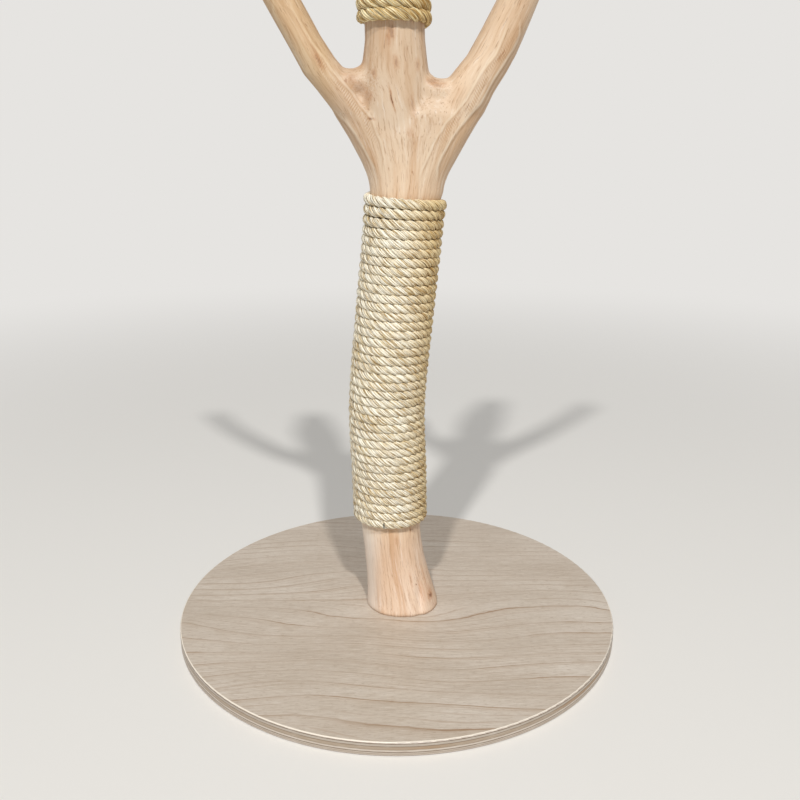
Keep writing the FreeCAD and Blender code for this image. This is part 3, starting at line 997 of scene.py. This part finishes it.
def straight_fibre():
    """One tapering three-sided fibre in three lengths, a metre long on the Z axis, to be copied."""
    bm = bmesh.new()
    _, tip = disc(bm, 3, fibre_thickness * 0.62)
    for _ in range(3):
        tip = extruded(bm, tip)
        bmesh.ops.translate(bm, verts=tip.verts, vec=(0, 0, 1 / 3))
        bmesh.ops.scale(bm, verts=tip.verts, vec=(0.72, 0.72, 1))
    bmesh.ops.recalc_face_normals(bm, faces=bm.faces)
    return mesh_from(bm, "fibre")


def loose_fibres(path, name, material, node):
    """Makes the short sisal fibres that stand out of the rope's surface."""
    rng = random.Random(name)
    count = int(path.length * fibres_per_metre)
    fibre = straight_fibre()
    size = len(fibre.vertices)
    bm = bmesh.new()
    for _ in range(count):
        bm.from_mesh(fibre)
    verts = list(bm.verts)
    for number in range(count):
        turn = rng.uniform(0.02, path.turns - 0.02)
        centre, outward = path.centre(turn)
        along = path.heading(turn)
        side = along.cross(outward).normalized()
        angle = rng.gauss(0, 0.9)
        radial = outward * math.cos(angle) + side * math.sin(angle)
        root = centre + radial * (path.thickness / 2 - 0.7 * mm)
        way = along * rng.choice((-1, 1)) + side * rng.gauss(0, 0.45)
        way += radial * rng.uniform(0.05, 0.55)
        way.normalize()
        reach = rng.uniform(*fibre_reach) * mm
        droop = radial * rng.gauss(0, 0.18) + side * rng.gauss(0, 0.25)
        across = way.cross(radial).normalized()
        over = across.cross(way)
        for vert in verts[number * size:(number + 1) * size]:
            x, y, share = vert.co
            vert.co = root + (way + droop * share) * (reach * share) + across * x + over * y
    bpy.data.meshes.remove(fibre)
    new_piece(name, bm, material, node)


def sisal_finish():
    """Sisal strands: yarns twisted round each other, of pale and darker fibres, with painted shade
    in the grooves between yarns and between strands.
    """
    finish = Finish("sisal_strands", 0.72)
    along, around, _ = finish.parts(finish.coordinates("UV"))
    outer = finish.math("COSINE", finish.times(around, 2 * math.pi))
    twisted = finish.plus(around, finish.times(along, 0.3))
    angle = finish.times(twisted, 2 * math.pi)
    yarn = finish.joined(finish.math("COSINE", angle), finish.math("SINE", angle), along)
    coarse = finish.noise(yarn, (2.4, 2.4, 1), 1)
    weave = finish.plus(finish.times(angle, 7), finish.times(coarse, 3))
    between_yarns = finish.math("COSINE", weave)
    fibres = finish.noise(yarn, (3.6, 3.6, 3.0), 2, 0.6)
    patches = finish.noise(finish.coordinates(), (42, 42, 42), 3, 0.6)
    colour = finish.ramp(patches, [(0.32, "E9D7AC"), (0.52, "F6E9C9"), (0.75, "FFF9E6")])
    right, _, height = finish.parts(finish.coordinates())
    tufts = finish.noise(finish.coordinates(), (120, 120, 170), 2, 0.6)
    colour = finish.tinted(
        colour,
        ("C6A772", height, 0.6, 0.76, 0, 0.75),
        ("C5A465", tufts, 0.52, 0.7, 0, 0.45),
        ("B08D4F", coarse, 0.54, 0.62, 0, 0.75),
        ("FFFBEA", coarse, 0.41, 0.49, 0.85, 0),
        ("FBF5E8", tufts, 0.3, 0.48, 0.4, 0),
        # Painted shade: dark lines in the grooves between yarns
        ("7C602F", between_yarns, 0.6, 0.95, 0, 0.65),
        ("94733A", fibres, 0.57, 0.66, 0, 0.75),
        ("FFFCEE", fibres, 0.4, 0.49, 0.8, 0),
        # Painted shade: each strand darker on its sides, where it lies against the next strand
        ("725729", outer, 0, 0.55, 0.92, 0),
    )
    colour = finish.tinted(
        colour, ("EEDCB8", right, 0, 0.05), ("F8F1D6", height, 0.6, 0.76), blend="MULTIPLY"
    )
    relief = finish.bump(fibres, 0.6 * mm, 1.0)
    relief = finish.bump(coarse, 0.6 * mm, 0.9, relief)
    relief = finish.bump(finish.times(between_yarns, -1.0), 0.25 * mm, 0.8, relief)
    return finish.done(colour, relief)


def fibre_finish():
    finish = Finish("loose_fibres", 0.6)
    tint = finish.noise(finish.coordinates(), (160, 160, 160), 1)
    return finish.done(finish.ramp(tint, [(0.35, "DFCBA2"), (0.65, "FDF4DE")]))


def wrap(path, name, node, strands, fibres):
    for number in range(3):
        strand(path, number, f"{name}_strand_{number + 1}", strands, node)
    loose_fibres(path, f"{name}_fibres", fibres, node)


# Plate

def growth_lines(finish, level, start, shape_noise, low, high):
    """Thin lines of late wood, sharp on one side, whose strength comes and goes."""
    figure = finish.math("FRACT", level)
    line = finish.times(finish.span(figure, start, 0.97), finish.span(figure, 0.975, 1.0, 1, 0))
    return finish.times(line, finish.span(shape_noise, 0.42, 0.62, low, high))


def plate_finish():
    """Plywood: pale veneer with its figure along X, and plies along the edge, with painted contact
    shade at its foot and a painted highlight along its top rim.
    """
    finish = Finish("plywood", 0.42)
    place = finish.coordinates()
    x, y, z = finish.parts(place)
    drift = finish.noise(place, (2.1, 5.5, 0), 1.5, 0.4)
    ripple = finish.noise(place, (14, 30, 0), 3, 0.6)
    level = finish.plus(y, finish.times(drift, 0.18))
    level = finish.plus(level, finish.times(ripple, 0.006))
    denser = finish.plus(38, finish.times(level, 36))
    level = finish.times(level, denser)
    fade = finish.noise(place, (4.5, 15, 0), 2)
    other_fade = finish.noise(finish.joined(y, x, z), (24, 6, 0), 2)
    strong = growth_lines(finish, level, 0.92, fade, 0.3, 0.85)
    soft = growth_lines(finish, level, 0.6, fade, 0.06, 0.26)
    faint = growth_lines(finish, finish.times(level, 3.3), 0.78, other_fade, 0.06, 0.45)
    fine = finish.noise(place, (45, 900, 0), 4, 0.65)
    flecks = finish.noise(place, (110, 1200, 0), 2)
    cloud = finish.noise(place, (5, 16, 0), 3)
    colour = finish.ramp(cloud, [(0.3, "C4B6A6"), (0.5, "CEC1B2"), (0.72, "D9CEC1")])
    colour = finish.tinted(
        colour,
        ("A9957F", fine, 0.45, 0.72, 0, 0.6),
        ("E6DED4", fine, 0.3, 0.45, 0.55, 0),
        ("92795F", flecks, 0.58, 0.72, 0, 0.6),
    )
    colour = finish.mix(soft, colour, paint("A98B6C"))
    colour = finish.mix(faint, colour, paint("A5866A"))
    colour = finish.mix(strong, colour, paint("93714F"))
    stain = finish.noise(place, (6, 6, 30), 2)
    streaks = finish.noise(place, (60, 60, 1100), 3, 0.6)
    # Bands of the edge from the table, the lowest of them painted contact shade where the plate
    # meets the floor
    bands = []
    for low, high, tint in plies:
        bands += [
            ((low + ply_blend) * mm / plate_thickness, tint),
            ((high - ply_blend) * mm / plate_thickness, tint),
        ]
    edge_colour = finish.ramp(finish.math("DIVIDE", z, plate_thickness), bands)
    stained = finish.times(
        finish.span(z, 8.4 * mm, 8.9 * mm),
        finish.span(z, 11.8 * mm, 12.3 * mm, 1, 0),
        finish.span(stain, 0.55, 0.68, 0, 0.6),
    )
    edge_colour = finish.mix(stained, edge_colour, paint("A0784C"))
    edge_colour = finish.tinted(
        edge_colour,
        ("9A836C", streaks, 0.5, 0.7, 0, 0.4),
        ("E2D8CC", streaks, 0.3, 0.45, 0.3, 0),
        # Painted highlight: a cream line along the top rim of the edge
        ("F4EADB", z, 17.0 * mm, 17.3 * mm),
    )
    is_top = finish.span(z, 17.9 * mm, 17.97 * mm)
    is_face = finish.math("MAXIMUM", is_top, finish.span(z, 0.03 * mm, 0.06 * mm, 1, 0))
    return finish.done(finish.mix(is_face, edge_colour, colour), finish.bump(fine, 0.06 * mm, 0.6))


def metal_finish(name, tint, roughness):
    """Bare metal, a little worn in small patches."""
    finish = Finish(name, roughness)
    finish.put(finish.shader, "Metallic", 1.0)
    wear = finish.noise(finish.coordinates(), (700, 700, 700), 3)
    rough = finish.span(wear, 0.3, 0.7, roughness - 0.08, roughness + 0.12)
    finish.put(finish.shader, "Roughness", rough)
    return finish.done(finish.mix(finish.times(wear, 0.4), paint(tint), paint("8D8C88")))


def staples(path_turns, material):
    """Makes flat-wire staples over the rope, each at a turn of a winding."""
    bm = bmesh.new()
    for path, turn in path_turns:
        centre, outward = path.centre(turn)
        along = path.heading(turn)
        side = along.cross(outward).normalized()
        crown = centre + outward * (path.thickness / 2 + staple_wire_thickness * 0.2)
        half = staple_crown / 2
        outline = []
        for way in (-1, 1):
            corner = []
            for i in range(staple_bend_steps + 1):
                angle = math.pi / 2 * i / staple_bend_steps
                across = half - staple_bend + staple_bend * math.sin(angle)
                drop = staple_bend * (1 - math.cos(angle))
                corner.append((way * across, -drop))
            corner.append((way * half, -staple_leg))
            outline += corner if way == 1 else corner[::-1]
        ring, face = disc(bm, 8, staple_wire_width / 2)
        points = [crown + side * across + outward * drop for across, drop in outline]
        sweep(bm, ring, face, points, along)
    bmesh.ops.recalc_face_normals(bm, faces=bm.faces)
    new_piece("staples", bm, material, "rope_staples")


def sweep(bm, ring, face, points, flat):
    """Carries a staple wire's end along points in one plane. Flat is the way across that plane."""
    def place(verts, point, way):
        across = way.cross(flat).normalized()
        for i, vert in enumerate(verts):
            angle = 2 * math.pi * i / len(verts)
            ring_place = across * math.cos(angle) * staple_wire_thickness
            ring_place += flat * math.sin(angle) * staple_wire_width
            vert.co = point + ring_place / 2

    def heading(i):
        before = points[max(i - 1, 0)]
        after = points[min(i + 1, len(points) - 1)]
        return (after - before).normalized()

    place(ring, points[0], heading(0))
    for i in range(1, len(points)):
        face = extruded(bm, face)
        place([loop.vert for loop in face.loops], points[i], heading(i))


floor_colour = paint("EFEDE9")
backdrop_colour = paint("E6E4E1")

add_camera()
add_world()
for lamp_name, lamp_place in lamp_places.items():
    add_lamp(lamp_name, lamp_place)
add_floor()

trunk_mesh, trunk_sections = peeled_trunk()
trunk_tree = BVHTree.FromBMesh(trunk_mesh)
trunk_knots = find_knots(trunk_sections, trunk_tree)
trunk_wood = wood_finish(trunk_knots, find_curls(trunk_tree))
new_piece("peeled_trunk", trunk_mesh, trunk_wood, "trunk")

lower_low, lower_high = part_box("lower_rope_wrap")
upper_low, upper_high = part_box("upper_rope_wrap")
lower_axis = WoundAxis(trunk_tree, lower_low.z, lower_high.z, stem_middle)
upper_axis = WoundAxis(trunk_tree, upper_low.z, upper_high.z, stem_middle)
lower_path = RopePath(lower_axis, lower_low.z, lower_high.z, **lower_winding)
upper_path = RopePath(upper_axis, upper_low.z - upper_rope_drop, upper_high.z, **upper_winding)
sisal = sisal_finish()
fibre = fibre_finish()
wrap(lower_path, "lower_rope", "lower_rope_wrap", sisal, fibre)
wrap(upper_path, "upper_rope", "upper_rope_wrap", sisal, fibre)

galvanised = metal_finish("galvanised_wire", "5F6667", 0.38)
staples([
    (lower_path, end_staple_turn),
    (lower_path, front_staple_turn),
    (lower_path, lower_path.turns - end_staple_turn),
    (upper_path, end_staple_turn),
    (upper_path, upper_path.turns - end_staple_turn),
], galvanised)

zinc = metal_finish("zinc_plate", "B9BBBA", 0.32)
own_finishes = {
    "base_plate": plate_finish(), "lag_screw": zinc, "lag_washer": zinc, "plate_screws": zinc,
}
for own_node, own_finish in own_finishes.items():
    for own_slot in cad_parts[own_node].material_slots:
        own_slot.material = own_finish

scene.view_settings.view_transform = "Standard"
